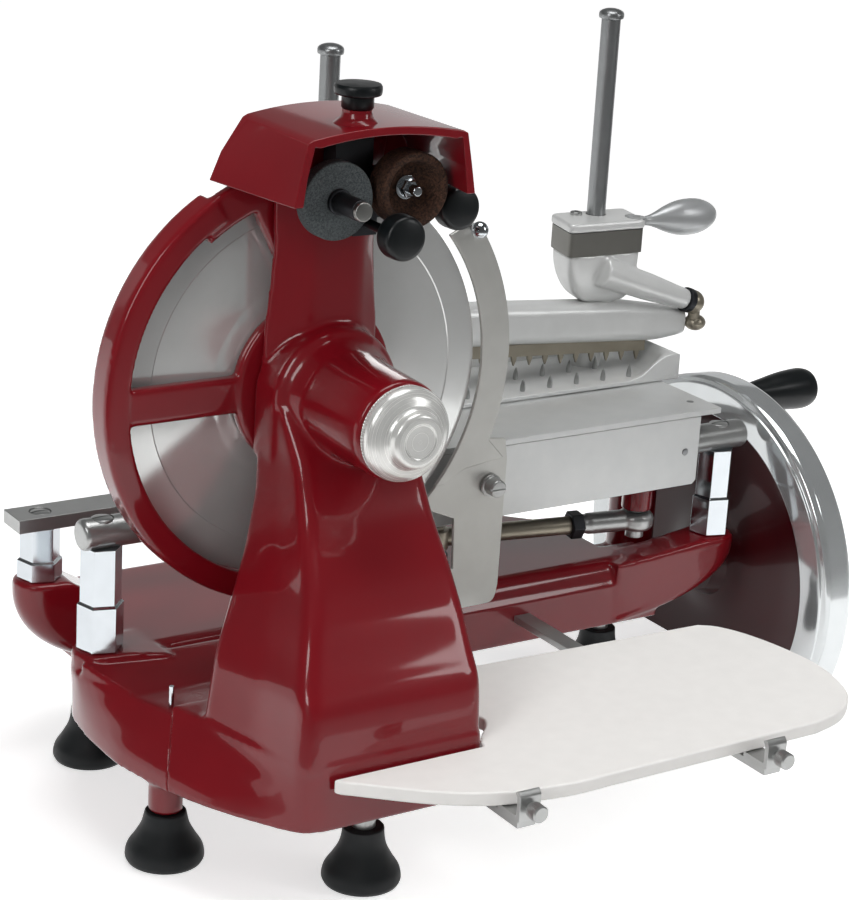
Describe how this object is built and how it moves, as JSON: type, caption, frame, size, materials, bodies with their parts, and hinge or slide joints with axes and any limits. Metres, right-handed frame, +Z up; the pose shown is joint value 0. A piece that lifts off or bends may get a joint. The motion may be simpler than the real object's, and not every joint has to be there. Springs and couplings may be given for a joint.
{
  "type": "hand-cranked flywheel meat slicer",
  "caption": "Flywheel meat slicer: a hand wheel turns a round blade and drives a sliding meat carriage, with pusher, blade sharpener and receiving board",
  "frame": {"origin": "centre of the underside of the foot under the tower, on the table surface", "axes": "+X along the carriage rails towards the flywheel, +Y from the receiving board towards the meat table, +Z up"},
  "size_m": [0.793, 0.629, 0.681],
  "materials": {
    "red_enamel": "glossy dark red enamel",
    "chrome": "bright polished",
    "steel": "fine brushed",
    "dark_steel": "oiled dark steel",
    "aluminium": "satin",
    "rubber": "smooth black",
    "black_plastic": "satin black",
    "white_board": "satin white",
    "grey_abrasive": "fine grey abrasive",
    "brown_abrasive": "coarse brown abrasive"
  },
  "bodies": {
    "frame": {"base_casting": "red_enamel", "bottom_cover": "dark_steel", "tower_casting": "red_enamel", "seam_pin": "steel", "ring_guard": "red_enamel", "hub_cap": "aluminium", "side_plate": "steel", "side_plate_bolt": "steel", "side_plate_ball": "chrome", "foot_rear_left": "rubber", "foot_front_left": "rubber", "foot_tower": "rubber", "foot_right": "rubber", "post_front_left": "chrome", "post_front_right": "chrome", "post_rear_left": "chrome", "post_rear_right": "chrome", "rail_round": "steel", "rail_flat": "steel", "receiving_board": "white_board", "board_arm_left": "steel", "board_arm_right": "steel", "board_clip_left": "steel", "board_clip_right": "steel", "drive_chain": "dark_steel"},
    "flywheel": {"flywheel_rim": "chrome", "flywheel_web": "red_enamel", "flywheel_shaft": "steel", "handle_spindle": "chrome"},
    "handle": {"handle_grip": "black_plastic"},
    "crank": {"crank": "dark_steel"},
    "cross_shaft": {"cross_shaft": "dark_steel"},
    "blade": {"blade": "chrome", "blade_shaft": "steel"},
    "carriage": {"carriage_body": "dark_steel", "carriage_front_plate": "aluminium", "carriage_top_plate": "aluminium", "rod_pivot_bolt": "dark_steel"},
    "connecting_rod": {"connecting_rod": "dark_steel", "rod_end": "chrome", "rod_jam_nut": "dark_steel"},
    "meat_table": {"meat_table": "aluminium", "upright_right": "steel", "upright_left": "steel"},
    "feed": {"feed_screw": "steel", "feed_knob": "black_plastic"},
    "pusher": {"pusher_head": "aluminium", "pusher_band": "steel", "pusher_joint": "dark_steel", "toothed_bar": "aluminium", "guide_collar": "aluminium"},
    "lever": {"wing_lever": "aluminium"},
    "sharpener": {"sharpener_hood": "red_enamel", "sharpener_knob": "black_plastic", "sharpener_bracket": "dark_steel"},
    "grey_wheel": {"grinding_wheel_grey": "grey_abrasive"},
    "brown_wheel": {"grinding_wheel_brown": "brown_abrasive"},
    "push_knob_left": {"push_knob_left": "black_plastic"},
    "push_knob_right": {"push_knob_right": "black_plastic"}
  },
  "joints": [
    {"name": "flywheel_spin", "type": "hinge", "parent": "frame", "child": "flywheel", "pos_m": [0.53, 0.27, 0.078], "axis": [1, 0, 0], "continuous": true},
    {"name": "handle_grip_spin", "type": "hinge", "parent": "flywheel", "child": "handle", "pos_m": [0.586, 0.274, 0.232], "axis": [1, 0, 0], "continuous": true},
    {"name": "crank_spin", "type": "hinge", "parent": "frame", "child": "crank", "pos_m": [0.136, 0.27, 0.133], "axis": [0, 0, 1], "continuous": true},
    {"name": "cross_shaft_spin", "type": "hinge", "parent": "frame", "child": "cross_shaft", "pos_m": [0.004, 0.214, 0.078], "axis": [0, 1, 0], "continuous": true},
    {"name": "blade_spin", "type": "hinge", "parent": "frame", "child": "blade", "pos_m": [0.034, 0.172, 0.3395], "axis": [0, 1, 0], "continuous": true},
    {"name": "carriage_slide", "type": "slide", "parent": "frame", "child": "carriage", "axis": [1, 0, 0], "range_m": [-0.179, 0]},
    {"name": "connecting_rod_swing", "type": "hinge", "parent": "carriage", "child": "connecting_rod", "pos_m": [0.411, 0.222, 0.152], "axis": [0, 0, 1], "range_deg": [-34, 21]},
    {"name": "meat_table_feed", "type": "slide", "parent": "carriage", "child": "meat_table", "axis": [0, 1, 0], "range_m": [-0.08, 0]},
    {"name": "feed_knob_spin", "type": "hinge", "parent": "carriage", "child": "feed", "pos_m": [0.286, 0.314, 0.247], "axis": [0, 1, 0], "continuous": true},
    {"name": "pusher_slide", "type": "slide", "parent": "meat_table", "child": "pusher", "axis": [0, 0, 1], "range_m": [0, 0.15]},
    {"name": "wing_lever_turn", "type": "hinge", "parent": "pusher", "child": "lever", "pos_m": [0.455, 0.312, 0.4], "axis": [0, 0, 1], "range_deg": [-40, 20]},
    {"name": "sharpener_lift", "type": "slide", "parent": "frame", "child": "sharpener", "axis": [0, 0, 1], "range_m": [0, 0.05]},
    {"name": "grey_wheel_spin", "type": "hinge", "parent": "sharpener", "child": "grey_wheel", "pos_m": [0.008, 0.099, 0.4985], "axis": [0, 1, 0], "continuous": true},
    {"name": "brown_wheel_spin", "type": "hinge", "parent": "sharpener", "child": "brown_wheel", "pos_m": [0.07, 0.094, 0.503], "axis": [0, 1, 0], "continuous": true},
    {"name": "push_knob_left_press", "type": "slide", "parent": "sharpener", "child": "push_knob_left", "axis": [0, 1, 0], "range_m": [0, 0.004], "stiffness_N_per_m": 400},
    {"name": "push_knob_right_press", "type": "slide", "parent": "sharpener", "child": "push_knob_right", "axis": [0, 1, 0], "range_m": [0, 0.004], "stiffness_N_per_m": 400}
  ],
  "couplings": [
    {"joint": "crank_spin", "follows": "flywheel_spin", "ratio": -1},
    {"joint": "cross_shaft_spin", "follows": "flywheel_spin", "ratio": 1},
    {"joint": "blade_spin", "follows": "flywheel_spin", "ratio": 1}
  ]
}
